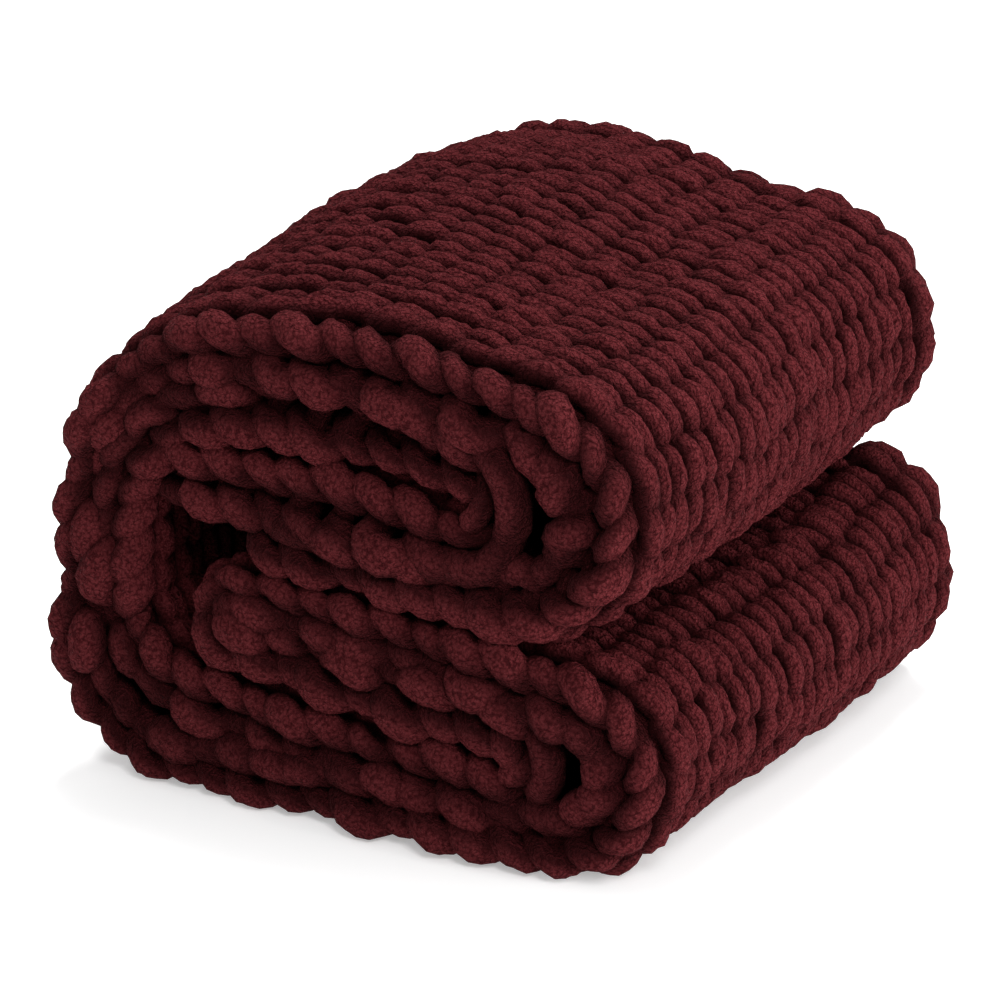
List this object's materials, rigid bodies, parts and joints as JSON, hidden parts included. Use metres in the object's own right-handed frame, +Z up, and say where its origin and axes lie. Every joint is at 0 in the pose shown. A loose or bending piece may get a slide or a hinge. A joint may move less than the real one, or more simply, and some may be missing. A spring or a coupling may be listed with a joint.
{
  "type": "folded chunky knit blanket",
  "caption": "Thick chenille knit blanket, folded into a compact stack that lies on a shelf, seat or bed.",
  "frame": {"origin": "under the middle of the folded stack, on the surface that it lies on", "axes": "+Z up from the surface; X along the front edge, +X towards the two rounded noses and -X towards the big wrapped side; -Y is the side where the cloth's edges show"},
  "size_m": [0.4158, 0.405, 0.3346],
  "materials": {
    "chenille": "matte plush pile"
  },
  "bodies": {
    "root": {"blanket": "chenille"}
  },
  "joints": []
}
